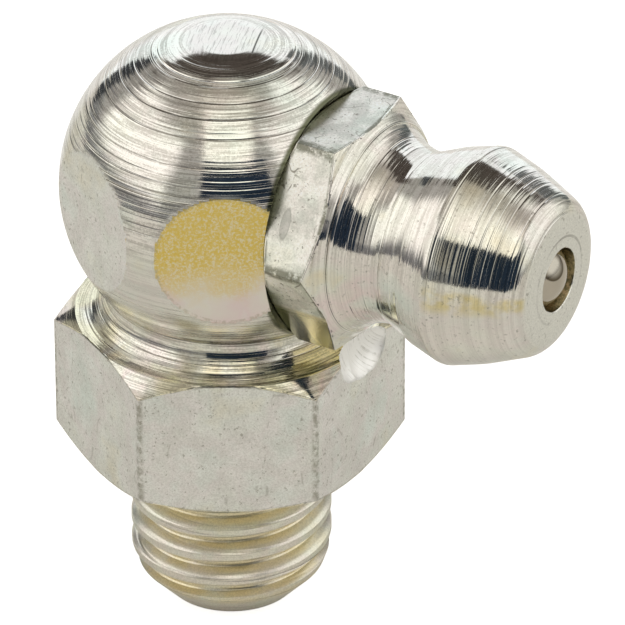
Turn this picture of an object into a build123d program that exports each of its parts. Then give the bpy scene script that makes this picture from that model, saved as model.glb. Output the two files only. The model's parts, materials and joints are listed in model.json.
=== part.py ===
from build123d import *
import os
from math import asin, cos, degrees, radians, sqrt, tan

os.makedirs("parts", exist_ok=True)

# Right-angle grease nipple, in millimetres.  The origin is where the shank's axis meets the
# hexagon's seat face, +Z goes up through the ball, and the side nipple points along +X.

# --- Driving dimensions ----------------------------------------------------------------

# Elbow body: one piece turned from 3/8 in hexagon bar
hexagon_across_flats = 9.525
seat_face_radius = 4.74
seat_chamfer_angle = 30.0
crown_height = 4.62              # seat face to the crown's rim
crown_rim_radius = 4.79
crown_chamfer_angle = 35.0
cove_radius = 0.92
neck_width = 0.027               # straight neck between the cove and the ball
ball_radius = 5.24
ball_flat_radius = 1.05          # turned flat on top of the ball

# Threaded shank, plain here at the thread's major diameter (1/4-28)
thread_major_diameter = 6.35
shank_length = 5.42
shank_tip_radius = 2.10
shank_tip_chamfer = 0.93         # along the shank
shank_lead_taper = 0.62          # along the shank, where the thread runs out
shank_lead_drop = 0.215          # off the radius, over the lead taper
passage_diameter = 2.40
passage_countersink = 0.35
drill_point_angle = 118.0

# Cross bore and spot face for the side nipple
spot_face_reach = 3.30           # spot face from the shank's axis
cross_bore_diameter = 4.90
cross_bore_depth = 4.50          # below the spot face
spot_face_clearance = 0.03       # round the collar's back chamfer and its corners

# Round relief in the hexagon's crown, under the side nipple
relief_radius = 2.00             # on the hexagon's face
relief_floor_radius = 1.12
relief_depth = 0.46
relief_height = 5.50             # centre above the seat face

# Side nipple: one piece turned from 7 mm hexagon bar
collar_across_flats = 7.00
collar_width = 1.90              # spot face to the front chamfer, at mid-flat
collar_back_angle = 30.0
collar_back_lift = 0.06          # chamfer's foot at mid-flat, in front of the spot face
collar_front_angle = 19.8        # from the plane across the axis
stem_length = 2.40               # inside the cross bore
stem_clearance = 0.02
stem_chamfer = 0.40
neck_place = 3.38                # groove's deepest point, from the spot face
neck_point_radius = 2.60         # where the two flanks would meet
neck_flank_angle = 26.3
neck_fillet = 1.20
head_shoulder_radius = 3.33
head_ring_step = 0.103           # ring proud of the shoulder, with a 45 degree back
head_ring_width = 0.24           # the ring's land
head_ring_place = 5.22           # back of the ring, from the spot face
nose_cone_angle = 20.6
nose_place = 8.40                # end face, from the spot face
nose_fillet = 0.90

# Check valve inside the side nipple
check_ball_diameter = 2.381      # 3/32 in
mouth_diameter = 2.00
mouth_chamfer = 0.05
mouth_depth = 0.40               # straight wall in front of the seat
ball_seat_angle = 60.0           # whole angle of the cone
ball_seat_gap = 0.01
chamber_clearance = 0.11         # round the check ball
staked_lip_diameter = 1.50
staked_lip_width = 0.45
spring_wire_diameter = 0.25
spring_side_clearance = 0.15     # coil to chamber wall
spring_turns = 5
spring_seat_gap = 0.01

# --- Sizes that follow -------------------------------------------------------------------

hexagon_corner_radius = hexagon_across_flats / 2 / cos(radians(30))
blank_radius = hexagon_corner_radius + 0.5
seat_chamfer_top = (blank_radius - seat_face_radius) * tan(radians(seat_chamfer_angle))
crown_slope = tan(radians(crown_chamfer_angle))
crown_blank_height = crown_height - (blank_radius - crown_rim_radius) * crown_slope
neck_radius = crown_rim_radius - cove_radius
neck_bottom = crown_height + cove_radius
neck_top = neck_bottom + neck_width
neck_drop = sqrt(ball_radius**2 - neck_radius**2)
neck_angle = -degrees(asin(neck_drop / ball_radius))
ball_height = neck_top + neck_drop
ball_flat_height = sqrt(ball_radius**2 - ball_flat_radius**2)
ball_flat_angle = degrees(asin(ball_flat_height / ball_radius))
shank_radius = thread_major_diameter / 2
shank_lead_radius = shank_radius - shank_lead_drop
shank_lead_end = shank_tip_chamfer - shank_length
shank_thread_end = shank_lead_end + shank_lead_taper
passage_radius = passage_diameter / 2
relief_floor = hexagon_across_flats / 2 - relief_depth
relief_outside = hexagon_across_flats / 2 + relief_depth
relief_outside_radius = 2 * relief_radius - relief_floor_radius
drill_point_slope = 1 / tan(radians(drill_point_angle / 2))

collar_radius = collar_across_flats / 2
collar_corner_radius = collar_radius / cos(radians(30))
collar_blank_radius = collar_corner_radius + 0.4
cross_bore_radius = cross_bore_diameter / 2
cross_bore_floor = spot_face_reach - cross_bore_depth

# Stations along +X from the shank's axis
stem_end = spot_face_reach - stem_length
stem_radius = cross_bore_radius - stem_clearance
back_slope = tan(radians(collar_back_angle))
collar_seat_radius = collar_radius - collar_back_lift / back_slope
collar_blank_back = spot_face_reach + (collar_blank_radius - collar_seat_radius) * back_slope
spot_face_radius = collar_seat_radius + spot_face_clearance / back_slope
spot_mouth_radius = collar_corner_radius + spot_face_clearance
spot_mouth = spot_face_reach + (spot_mouth_radius - spot_face_radius) * back_slope
front_slope = tan(radians(collar_front_angle))
collar_front = spot_face_reach + collar_width
collar_blank_front = collar_front - (collar_blank_radius - collar_radius) * front_slope
neck_centre = spot_face_reach + neck_place
flank_slope = tan(radians(neck_flank_angle))
collar_foot_radius = (
    neck_point_radius + (neck_centre - collar_front - collar_radius * front_slope) * flank_slope
) / (1 - front_slope * flank_slope)
collar_foot = neck_centre - (collar_foot_radius - neck_point_radius) / flank_slope
shoulder_start = neck_centre + (head_shoulder_radius - neck_point_radius) / flank_slope
ring_back = spot_face_reach + head_ring_place
head_ring_radius = head_shoulder_radius + head_ring_step
ring_front = ring_back + head_ring_step + head_ring_width
nose_end = spot_face_reach + nose_place
nose_corner_radius = head_ring_radius - (nose_end - ring_front) * tan(radians(nose_cone_angle))

check_ball_radius = check_ball_diameter / 2
mouth_radius = mouth_diameter / 2
chamber_radius = check_ball_radius + chamber_clearance
seat_slope = tan(radians(ball_seat_angle / 2))
seat_front = nose_end - mouth_depth
seat_back = seat_front - (chamber_radius - mouth_radius) / seat_slope
check_ball_place = seat_front - (
    (check_ball_radius + ball_seat_gap) / cos(radians(ball_seat_angle / 2)) - mouth_radius
) / seat_slope
lip_front = stem_end + staked_lip_width
staked_lip_radius = staked_lip_diameter / 2
spring_wire_radius = spring_wire_diameter / 2
spring_coil_radius = chamber_radius - spring_side_clearance - spring_wire_radius
spring_inner_radius = spring_coil_radius - spring_wire_radius
spring_back = lip_front + spring_seat_gap
spring_front = (
    check_ball_place
    - sqrt(check_ball_radius**2 - spring_inner_radius**2)
    - spring_seat_gap
)
spring_length = spring_front - spring_back

nipple_axis = Axis((0, 0, ball_height), (1, 0, 0))
nipple_section = Plane(origin=(0, 0, ball_height), x_dir=(1, 0, 0), z_dir=(0, -1, 0))


def plane_across_nipple(place):
    """Plane across the side nipple's axis, facing its mouth."""
    return Plane(origin=(place, 0, ball_height), x_dir=(0, 1, 0), z_dir=(1, 0, 0))


# --- Elbow body ----------------------------------------------------------------------------
# Turned profile first: shank, seat face, hexagon blank, cove and ball.  The hexagon of the bar
# then takes the corners off, which also leaves six round flats on the ball.
with BuildPart() as elbow_body:
    with BuildSketch(Plane.XZ):
        with BuildLine():
            Polyline(
                (0, -shank_length),
                (shank_tip_radius, -shank_length),
                (shank_lead_radius, shank_lead_end),
                (shank_radius, shank_thread_end),
                (shank_radius, 0),
                (seat_face_radius, 0),
                (blank_radius, seat_chamfer_top),
                (blank_radius, crown_blank_height),
                (crown_rim_radius, crown_height),
            )
            CenterArc((crown_rim_radius, neck_bottom), cove_radius, 270, -90)
            Line((neck_radius, neck_bottom), (neck_radius, neck_top))
            CenterArc((0, ball_height), ball_radius, neck_angle, ball_flat_angle - neck_angle)
            Polyline(
                (ball_flat_radius, ball_height + ball_flat_height),
                (0, ball_height + ball_flat_height),
                (0, -shank_length),
            )
        make_face()
    revolve(axis=Axis.Z)

    with BuildSketch(Plane.XY.offset(-shank_length)):
        RegularPolygon(
            hexagon_across_flats / 2, side_count=6, major_radius=False, rotation=30
        )
    extrude(
        amount=shank_length + ball_height + ball_flat_height, mode=Mode.INTERSECT
    )

    # Grease passage up the shank, with the drill's point and a broken mouth edge
    with BuildSketch(Plane.XZ):
        with BuildLine():
            Polyline(
                (0, -shank_length),
                (passage_radius + passage_countersink, -shank_length),
                (passage_radius, passage_countersink - shank_length),
                (passage_radius, ball_height),
                (0, ball_height + passage_radius * drill_point_slope),
                close=True,
            )
        make_face()
    revolve(axis=Axis.Z, mode=Mode.SUBTRACT)

    # Cross bore and spot face for the side nipple.  The spot face is countersunk, because the
    # collar's back chamfer sits down in it.
    with BuildSketch(nipple_section):
        with BuildLine():
            Polyline(
                (cross_bore_floor - cross_bore_radius * drill_point_slope, 0),
                (cross_bore_floor, cross_bore_radius),
                (spot_face_reach, cross_bore_radius),
                (spot_face_reach, spot_face_radius),
                (spot_mouth, spot_mouth_radius),
                (2 * ball_radius, spot_mouth_radius),
                (2 * ball_radius, 0),
                close=True,
            )
        make_face()
    revolve(axis=nipple_axis, mode=Mode.SUBTRACT)

    # Round relief in the crown: a shallow cone with a flat floor, cut along the nipple's axis
    with BuildSketch(Plane(origin=(0, 0, relief_height), x_dir=(1, 0, 0), z_dir=(0, -1, 0))):
        with BuildLine():
            Polyline(
                (relief_floor, 0),
                (relief_floor, relief_floor_radius),
                (relief_outside, relief_outside_radius),
                (relief_outside, 0),
                close=True,
            )
        make_face()
    revolve(axis=Axis((0, 0, relief_height), (1, 0, 0)), mode=Mode.SUBTRACT)

elbow_body.part.label = "elbow_body"
export_step(elbow_body.part, "parts/elbow_body.step")

# --- Side nipple ---------------------------------------------------------------------------
# Stem, hexagon collar, waisted neck, ring and nose cone in one turning, bored from the stem's
# end for the check valve.  The stem's end is staked inwards to hold the spring.
with BuildPart() as nipple_body:
    with BuildSketch(nipple_section) as turned_outside:
        with BuildLine():
            Polyline(
                (stem_end, 0),
                (stem_end, stem_radius - stem_chamfer),
                (stem_end + stem_chamfer, stem_radius),
                (spot_face_reach, stem_radius),
                (spot_face_reach, collar_seat_radius),
                (collar_blank_back, collar_blank_radius),
                (collar_blank_front, collar_blank_radius),
                (collar_foot, collar_foot_radius),
                (neck_centre, neck_point_radius),
                (shoulder_start, head_shoulder_radius),
                (ring_back, head_shoulder_radius),
                (ring_back + head_ring_step, head_ring_radius),
                (ring_front, head_ring_radius),
                (nose_end, nose_corner_radius),
                (nose_end, 0),
                close=True,
            )
        make_face()
        for place, radius, rounding in (
            (neck_centre, neck_point_radius, neck_fillet),
            (nose_end, nose_corner_radius, nose_fillet),
        ):
            corner = turned_outside.vertices().sort_by_distance((place, radius))[0]
            fillet(corner, radius=rounding)
    revolve(axis=nipple_axis)

    with BuildSketch(plane_across_nipple(stem_end)):
        RegularPolygon(
            collar_across_flats / 2, side_count=6, major_radius=False, rotation=0
        )
    extrude(amount=nose_end - stem_end, mode=Mode.INTERSECT)

    with BuildSketch(nipple_section):
        with BuildLine():
            Polyline(
                (stem_end, 0),
                (stem_end, staked_lip_radius),
                (lip_front, staked_lip_radius),
                (lip_front, chamber_radius),
                (seat_back, chamber_radius),
                (seat_front, mouth_radius),
                (nose_end - mouth_chamfer, mouth_radius),
                (nose_end, mouth_radius + mouth_chamfer),
                (nose_end, 0),
                close=True,
            )
        make_face()
    revolve(axis=nipple_axis, mode=Mode.SUBTRACT)

nipple_body.part.label = "nipple_body"
export_step(nipple_body.part, "parts/nipple_body.step")

# --- Check ball ----------------------------------------------------------------------------
# It closes the mouth from inside, against the cone.
with BuildPart() as check_ball:
    with BuildSketch(nipple_section):
        with BuildLine():
            CenterArc((check_ball_place, 0), check_ball_radius, 0, 180)
            Line(
                (check_ball_place - check_ball_radius, 0),
                (check_ball_place + check_ball_radius, 0),
            )
        make_face()
    revolve(axis=nipple_axis)

check_ball.part.label = "check_ball"
export_step(check_ball.part, "parts/check_ball.step")

# --- Check spring --------------------------------------------------------------------------
# Wire wound between the staked lip and the check ball, its ends ground flat.  The wire's
# section is drawn with six sides, which keeps the long coil light.
with BuildPart() as check_spring:
    with BuildLine() as spring_coil:
        Helix(
            pitch=(spring_length - spring_wire_diameter) / (spring_turns - 1),
            height=(spring_length - spring_wire_diameter) * (spring_turns / (spring_turns - 1)),
            radius=spring_coil_radius,
            center=(spring_back, 0, ball_height),
            direction=(1, 0, 0),
        )
    with BuildSketch(Plane(origin=spring_coil.line @ 0, z_dir=spring_coil.line % 0)):
        RegularPolygon(spring_wire_radius, side_count=6)
    sweep(is_frenet=True)
    with BuildSketch(plane_across_nipple(spring_back)):
        Circle(chamber_radius)
    extrude(amount=spring_length, mode=Mode.INTERSECT)

check_spring.part.label = "check_spring"
export_step(check_spring.part, "parts/check_spring.step")
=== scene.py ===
import json
from math import acos, asin, cos, degrees, pi, radians, sin, sqrt, tan

import bpy
from mathutils import Matrix, Vector

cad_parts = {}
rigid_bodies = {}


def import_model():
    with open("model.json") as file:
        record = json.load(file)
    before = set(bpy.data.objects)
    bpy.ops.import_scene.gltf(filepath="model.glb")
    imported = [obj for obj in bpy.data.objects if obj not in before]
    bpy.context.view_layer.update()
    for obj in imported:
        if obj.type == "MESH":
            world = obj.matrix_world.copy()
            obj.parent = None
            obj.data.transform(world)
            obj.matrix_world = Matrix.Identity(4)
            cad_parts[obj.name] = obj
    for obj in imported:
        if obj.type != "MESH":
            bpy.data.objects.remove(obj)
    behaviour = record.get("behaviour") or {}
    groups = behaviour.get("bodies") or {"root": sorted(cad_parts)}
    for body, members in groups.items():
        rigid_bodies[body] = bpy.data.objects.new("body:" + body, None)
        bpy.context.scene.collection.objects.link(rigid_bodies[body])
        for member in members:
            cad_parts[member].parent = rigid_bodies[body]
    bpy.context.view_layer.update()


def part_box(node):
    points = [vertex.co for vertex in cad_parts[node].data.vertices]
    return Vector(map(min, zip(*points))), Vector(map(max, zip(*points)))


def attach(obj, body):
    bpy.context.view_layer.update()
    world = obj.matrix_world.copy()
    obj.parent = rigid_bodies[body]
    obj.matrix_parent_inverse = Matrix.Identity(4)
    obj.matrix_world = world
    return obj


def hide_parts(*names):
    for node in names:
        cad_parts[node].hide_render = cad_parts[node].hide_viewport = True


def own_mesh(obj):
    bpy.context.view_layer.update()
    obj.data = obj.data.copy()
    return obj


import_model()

# ---------------------------------------------------------------------------------------------
# Elbow body.  One piece turned on a lathe from hexagon bar steel: threaded shank, hexagon, cove
# and ball.  The bar's own flats stay on the hexagon, and as round spots on the ball.
# ---------------------------------------------------------------------------------------------
MM = 0.001
TURNED_SIDES = 192
FLAT_WAYS = [Vector((cos(side * pi / 3), sin(side * pi / 3), 0)) for side in range(6)]
NARROW_CUT = 1e-8
HAIR = 0.001 * MM

bar_reach = 9.525 * MM / 2
bar_corner = bar_reach / cos(radians(30))
blank_radius = bar_corner + 0.5 * MM
shank_radius = 3.175 * MM
shank_end = -5.42 * MM
seat_radius = 4.74 * MM
seat_angle = 30
crown_height = 4.62 * MM
crown_rim = 4.79 * MM
crown_angle = 35
cove_radius = 0.92 * MM
cove_height = crown_height + cove_radius
ball_radius = 5.24 * MM
ball_height = 9.0998 * MM
broken_edge = 0.04 * MM
merged_within = 0.008 * MM


def nothing_selected():
    """Leaves every object out of the selection, before a new one is added."""
    for piece in bpy.context.view_layer.objects:
        piece.select_set(False)
    bpy.context.view_layer.objects.active = None


def work_on(piece):
    """Selects one piece alone."""
    nothing_selected()
    piece.select_set(True)
    bpy.context.view_layer.objects.active = piece


def rounded(corners):
    """An outline's points (radius, height) from corners (radius, height, rounding)."""
    points = []
    for place, (radius, height, rounding) in enumerate(corners):
        corner = Vector((radius, height))
        if not rounding:
            points.append((radius, height))
            continue
        before = (Vector(corners[place - 1][:2]) - corner).normalized()
        after = (Vector(corners[place + 1][:2]) - corner).normalized()
        half = acos(max(-1, min(1, before.dot(after)))) / 2
        centre = corner + (before + after).normalized() * rounding / sin(half)
        start = corner + before * rounding / tan(half) - centre
        turn = start.angle_signed(corner + after * rounding / tan(half) - centre)
        steps = max(2, round(abs(turn) / radians(6)))
        for step in range(steps + 1):
            share = -turn * step / steps
            points.append((
                centre.x + start.x * cos(share) - start.y * sin(share),
                centre.y + start.x * sin(share) + start.y * cos(share),
            ))
    return points


def climb_over(width, angle):
    """How far a cone of this slope, in degrees, climbs over a width."""
    return width * tan(radians(angle))


def arc(centre, radius, start, end, steps):
    """Points (radius, height) along a round stretch of an outline, angles in degrees."""
    turns = [radians(start + (end - start) * step / steps) for step in range(steps + 1)]
    return [(centre[0] + radius * cos(t), centre[1] + radius * sin(t)) for t in turns]


def turn_up(name, outline, sides=TURNED_SIDES):
    """Turns a piece about +Z: a disc at the outline's start, drawn up ring by ring to its end."""
    nothing_selected()
    radius, height = outline[0]
    bpy.ops.mesh.primitive_circle_add(
        vertices=sides, radius=radius, fill_type="NGON", location=(0, 0, height)
    )
    piece = bpy.context.object
    piece.name = name
    bpy.ops.object.transform_apply(location=True, rotation=True, scale=True)
    bpy.ops.object.mode_set(mode="EDIT")
    bpy.ops.mesh.select_all(action="SELECT")
    for next_radius, next_height in outline[1:]:
        bpy.ops.mesh.extrude_region_move(
            TRANSFORM_OT_translate={"value": (0, 0, next_height - height)}
        )
        share = next_radius / radius
        bpy.ops.transform.resize(
            value=(share, share, 1), center_override=(0, 0, next_height)
        )
        radius, height = next_radius, next_height
    bpy.ops.mesh.select_all(action="SELECT")
    bpy.ops.mesh.normals_make_consistent(inside=False)
    bpy.ops.object.mode_set(mode="OBJECT")
    return piece


def mill_flats(piece, reach):
    """Mills six flats about +Z, and breaks the sharp edges that they leave."""
    work_on(piece)
    bpy.ops.object.mode_set(mode="EDIT")
    for way in FLAT_WAYS:
        bpy.ops.mesh.select_all(action="SELECT")
        bpy.ops.mesh.bisect(
            plane_co=way * reach, plane_no=way, use_fill=True, clear_outer=True,
            threshold=NARROW_CUT,
        )
    bpy.ops.mesh.select_all(action="SELECT")
    bpy.ops.mesh.remove_doubles(threshold=merged_within)
    bpy.ops.object.mode_set(mode="OBJECT")
    edges = piece.modifiers.new("broken_edges", "BEVEL")
    edges.limit_method = "ANGLE"
    edges.angle_limit = radians(50)
    edges.width = broken_edge
    edges.segments = 2
    edges.use_clamp_overlap = False
    bpy.ops.object.modifier_apply(modifier=edges.name)

    # A few of the bevel's corners stand just outside their flat, and are pushed back to it
    for way in FLAT_WAYS:
        bpy.ops.object.mode_set(mode="EDIT")
        bpy.ops.mesh.select_all(action="DESELECT")
        bpy.ops.object.mode_set(mode="OBJECT")
        proud = 0
        for vertex in piece.data.vertices:
            over = vertex.co.dot(way) - reach
            vertex.select = over > HAIR
            proud = max(proud, over)
        bpy.ops.object.mode_set(mode="EDIT")
        bpy.ops.transform.translate(value=-way * proud)
        bpy.ops.object.mode_set(mode="OBJECT")
    return piece


# The outline, from the shank's tip up to the middle of the ball's top.  A fine groove runs
# round the ball near its top.
neck_radius = crown_rim - cove_radius
neck_turn = -degrees(asin(sqrt(ball_radius**2 - neck_radius**2) / ball_radius))
groove_turn = radians(66.0)
groove_bottom = ball_radius - 0.025 * MM
crest_turn = 68.2
elbow_outline = [
    *rounded([
        (2.10 * MM, shank_end, 0),
        (2.96 * MM, -4.49 * MM, 0.08 * MM),
        (shank_radius, -3.87 * MM, 0.5 * MM),
        (shank_radius, 0, 0.05 * MM),
        (seat_radius, 0, 0.05 * MM),
        (blank_radius, climb_over(blank_radius - seat_radius, seat_angle), 0),
        (blank_radius, crown_height - climb_over(blank_radius - crown_rim, crown_angle), 0),
    ]),
    (crown_rim + 0.07 * MM, crown_height - climb_over(0.07 * MM, crown_angle)),
    *arc((crown_rim, cove_height), cove_radius, 272, 180, 24),
    *arc((0, ball_height), ball_radius, neck_turn, degrees(groove_turn) - 0.5, 106),
    (groove_bottom * cos(groove_turn), ball_height + groove_bottom * sin(groove_turn)),
    *arc((0, ball_height), ball_radius, degrees(groove_turn) + 0.3, crest_turn, 3),
    (1.45 * MM, 14.107 * MM),
    (1.02 * MM, 14.192 * MM),
    (0.90 * MM, 14.203 * MM),
    (0.10 * MM, 14.233 * MM),
]
elbow = mill_flats(turn_up("elbow", elbow_outline), bar_reach)


def drill(piece, cutter):
    """Takes the cutter's form out of a piece and puts the cutter away."""
    work_on(piece)
    cut = piece.modifiers.new("drilled", "BOOLEAN")
    cut.object = cutter
    cut.operation = "DIFFERENCE"
    cut.solver = "MANIFOLD"
    bpy.ops.object.modifier_apply(modifier=cut.name)
    bpy.data.objects.remove(cutter, do_unlink=True)


def lay_over(piece):
    """Turns an upright piece over, so that it lies along +X through the ball's middle."""
    work_on(piece)
    piece.rotation_euler = (0, pi / 2, 0)
    piece.location = (0, 0, ball_height)
    bpy.ops.object.transform_apply(location=True, rotation=True, scale=True)


# Cross bore for the side nipple, countersunk for its collar, and the grease passage
spot_face = 3.30 * MM
cross_bore_radius = 2.45 * MM
countersink_radius = 4.0715 * MM
cross_bore = turn_up("cross_bore", [
    (0.05 * MM, -2.66 * MM), (cross_bore_radius, -1.20 * MM), (cross_bore_radius, spot_face),
    (3.420 * MM, spot_face), (countersink_radius, 3.676 * MM), (countersink_radius, 8 * MM),
])
lay_over(cross_bore)
drill(elbow, cross_bore)
passage_radius = 1.2 * MM
passage = turn_up("passage", [
    (1.6 * MM, shank_end - 0.05 * MM), (passage_radius, shank_end + 0.35 * MM),
    (passage_radius, ball_height), (0.05 * MM, ball_height + 0.7 * MM),
], sides=64)
drill(elbow, passage)

# Relief in the crown under the side nipple: three cuts of a ball cutter, each a little further on
relief_cuts = (
    (Vector((5.58, 0.66, 4.27)) * MM, 1.20 * MM),
    (Vector((5.60, 0.18, 4.36)) * MM, 1.27 * MM),
    (Vector((5.62, -0.30, 4.50)) * MM, 1.28 * MM),
)
for middle, cutter_radius in relief_cuts:
    nothing_selected()
    bpy.ops.mesh.primitive_uv_sphere_add(
        segments=96, ring_count=48, radius=cutter_radius, location=middle
    )
    relief = bpy.context.object
    bpy.ops.object.transform_apply(location=True, rotation=True, scale=True)
    drill(elbow, relief)


def wind_up(piece, pitch, turns, steps):
    """Winds a flat section about +Z into a coil, and closes both its ends."""
    work_on(piece)
    wind = piece.modifiers.new("wound", "SCREW")
    wind.axis = "Z"
    wind.screw_offset = pitch * turns
    wind.angle = 2 * pi * turns
    wind.steps = wind.render_steps = steps
    wind.iterations = 1
    bpy.ops.object.modifier_apply(modifier=wind.name)
    bpy.ops.object.mode_set(mode="EDIT")
    bpy.ops.mesh.select_all(action="DESELECT")
    bpy.ops.mesh.select_non_manifold()
    bpy.ops.mesh.edge_face_add()
    bpy.ops.mesh.select_all(action="SELECT")
    bpy.ops.mesh.normals_make_consistent(inside=False)
    bpy.ops.object.mode_set(mode="OBJECT")


def smooth(piece, angle):
    """Shades a piece smooth up to this angle, its large faces kept true."""
    work_on(piece)
    bpy.ops.object.shade_smooth_by_angle(angle=radians(angle))
    even = piece.modifiers.new("true_faces", "WEIGHTED_NORMAL")
    even.keep_sharp = True
    even.weight = 80
    bpy.ops.object.modifier_apply(modifier=even.name)


# Thread: 1/4-28, right handed, cut up to the seat by one V tool.  The tool's section is drawn
# out from its narrow tip in steps (reach, half width), and wound up the shank from below its end.
thread_pitch = 0.907 * MM
thread_root = 2.76 * MM
thread_turns = 5.8
thread_start = -5.731 * MM
first_face = 0.01 * MM
half_width = 0.06 * MM
tool_steps = [
    (2.80 * MM, 0.11 * MM), (3.03 * MM, 0.22 * MM), (3.12 * MM, 0.28 * MM),
    (3.17 * MM, 0.35 * MM), (3.50 * MM, 0.44 * MM),
]
nothing_selected()
bpy.ops.mesh.primitive_plane_add(
    size=first_face, location=(thread_root, 0, thread_start), rotation=(pi / 2, 0, 0)
)
thread_tool = bpy.context.object
bpy.ops.object.transform_apply(location=True, rotation=True, scale=True)
work_on(thread_tool)
bpy.ops.object.mode_set(mode="EDIT")
bpy.ops.mesh.select_all(action="SELECT")
bpy.ops.transform.resize(
    value=(1, 1, 2 * half_width / first_face), center_override=(thread_root, 0, thread_start)
)
for next_reach, next_half in tool_steps:
    bpy.ops.object.mode_set(mode="OBJECT")
    tip = max(v.co.x for v in thread_tool.data.vertices)
    for vertex in thread_tool.data.vertices:
        vertex.select = vertex.co.x > tip - HAIR
    for edge in thread_tool.data.edges:
        edge.select = all(thread_tool.data.vertices[v].select for v in edge.vertices)
    for face in thread_tool.data.polygons:
        face.select = False
    bpy.ops.object.mode_set(mode="EDIT")
    bpy.ops.mesh.extrude_region_move(TRANSFORM_OT_translate={"value": (next_reach - tip, 0, 0)})
    bpy.ops.transform.resize(
        value=(1, 1, next_half / half_width), center_override=(next_reach, 0, thread_start)
    )
    half_width = next_half
bpy.ops.mesh.select_all(action="SELECT")
bpy.ops.mesh.dissolve_faces()
bpy.ops.mesh.select_all(action="SELECT")
bpy.ops.mesh.delete(type="ONLY_FACE")
bpy.ops.object.mode_set(mode="OBJECT")
wind_up(thread_tool, thread_pitch, thread_turns, round(96 * thread_turns))
drill(elbow, thread_tool)
sharp_from = 24
smooth(elbow, sharp_from)


def add(tree, kind, inputs=(), **settings):
    """A new node, with values or links for its first inputs, or for those that a dict names."""
    new = tree.nodes.new("ShaderNode" + kind)
    for name, setting in settings.items():
        setattr(new, name, setting)
    for place, value in inputs.items() if isinstance(inputs, dict) else enumerate(inputs):
        if isinstance(value, bpy.types.NodeSocket):
            tree.links.new(value, new.inputs[place])
        else:
            new.inputs[place].default_value = value
    return new


def calc(tree, operation, *values):
    """A Math node's result."""
    return add(tree, "Math", values, operation=operation).outputs[0]


def times(tree, first, *others):
    """Values multiplied together."""
    for other in others:
        first = calc(tree, "MULTIPLY", first, other)
    return first


def apart(tree, value, middle):
    """How far a value lies from a middle, on either side."""
    return calc(tree, "ABSOLUTE", calc(tree, "SUBTRACT", value, middle))


def away(tree, first, second):
    """How far a place lies from an axis, from its offsets along two directions across it."""
    return calc(tree, "SQRT", calc(
        tree, "ADD", times(tree, first, first), times(tree, second, second)
    ))


def split(tree, vector):
    """A vector's X, Y and Z."""
    return add(tree, "SeparateXYZ", (vector,)).outputs


def join(tree, x, y, z):
    """A vector from its X, Y and Z."""
    return add(tree, "CombineXYZ", (x, y, z)).outputs[0]


def dot(tree, vector, direction):
    """How far a place lies along a direction."""
    return add(tree, "VectorMath", (vector, direction), operation="DOT_PRODUCT").outputs["Value"]


def fade(tree, value, low, high):
    """Goes smoothly from 0, where the value is low, to 1, where it is high."""
    inputs = (value, low, high, 0, 1)
    return add(tree, "MapRange", inputs, interpolation_type="SMOOTHSTEP").outputs[0]


def blend(tree, share, first, second, mode="MIX"):
    """A Mix node's colour."""
    inputs = {0: share, 6: first, 7: second}
    return add(tree, "Mix", inputs, data_type="RGBA", blend_type=mode).outputs[2]


def tinted(tree, colour, tint):
    """A colour multiplied by another."""
    return blend(tree, 1.0, colour, tint, "MULTIPLY")


def noise(tree, place, per_mm, detail=2, roughness=0.5):
    """Noise over a vector, or along one station, with so many cells to a millimetre."""
    one_way = place.type == "VALUE"
    new = add(tree, "TexNoise", {"Scale": per_mm / MM, "Detail": detail, "Roughness": roughness})
    new.noise_dimensions = "1D" if one_way else "3D"
    tree.links.new(place, new.inputs["W" if one_way else "Vector"])
    return new.outputs["Fac"]


def new_group(name, given, made):
    """An empty node group with these inputs and outputs, and its two end nodes."""
    group = bpy.data.node_groups.new(name, "ShaderNodeTree")
    for way, sockets in (("INPUT", given), ("OUTPUT", made)):
        for socket, kind in sockets.items():
            group.interface.new_socket(
                name=socket, in_out=way, socket_type="NodeSocket" + kind
            )
    return group, group.nodes.new("NodeGroupInput"), group.nodes.new("NodeGroupOutput")


def use(tree, group, **values):
    """A group placed in a tree, with its inputs."""
    return add(tree, "Group", values, node_tree=group)


# Turning marks: a lathe tool leaves grooves of uneven depth, fine scratches between them, and
# a slow swell.  The deepest grooves hold grime in places, and the metal between them is paler
# and darker in streaks, which the materials turn partly into painted reflection.
turning_marks, given, made = new_group(
    "turning_marks", {"Station": "Float", "Vector": "Vector", "Depth": "Float"},
    {"Height": "Float", "Lines": "Float", "Streaks": "Float"},
)
tree = turning_marks
station = given.outputs["Station"]
place = given.outputs["Vector"]
at = split(tree, place)
drawn_out = 0.045
wound = join(tree, times(tree, at["X"], drawn_out), times(tree, at["Y"], drawn_out), station)
streaks = noise(tree, wound, 20, 2, 0.6)
grain = noise(tree, place, 13, 3, 0.7)
feeds_per_mm = 5.6
feed = calc(tree, "SINE", times(tree, station, 2 * pi * feeds_per_mm / MM))
feed = times(tree, feed, fade(tree, noise(tree, station, 0.9, 1), 0.40, 0.65))
swell = noise(tree, station, 2.2, 1)
grooves = calc(tree, "MULTIPLY_ADD", grain, 0.16, times(tree, feed, 0.30))
grooves = calc(tree, "MULTIPLY_ADD", swell, 0.9, grooves)
grooves = calc(tree, "MULTIPLY_ADD", streaks, 0.18, grooves)
lines = 0.0
for per_mm, width, strength in ((3.4, 0.15, 2.4), (10, 0.26, 0.50)):
    cells = add(tree, "TexVoronoi", {"W": station, "Scale": per_mm / MM}, voronoi_dimensions="1D")
    unlike = add(tree, "SeparateColor", (cells.outputs["Color"],)).outputs[0]
    unlike = times(tree, calc(tree, "POWER", unlike, 1.6), strength)
    floor = fade(tree, cells.outputs["Distance"], 0.02, width)
    grooves = calc(tree, "MULTIPLY_ADD", floor, unlike, grooves)
    bottom = fade(tree, cells.outputs["Distance"], width * 0.6, 0.01)
    lines = calc(tree, "MAXIMUM", lines, times(tree, bottom, unlike))
uneven = fade(tree, noise(tree, place, 0.5, 2), 0.10, 0.75)
depth = times(tree, given.outputs["Depth"], uneven)
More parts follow.
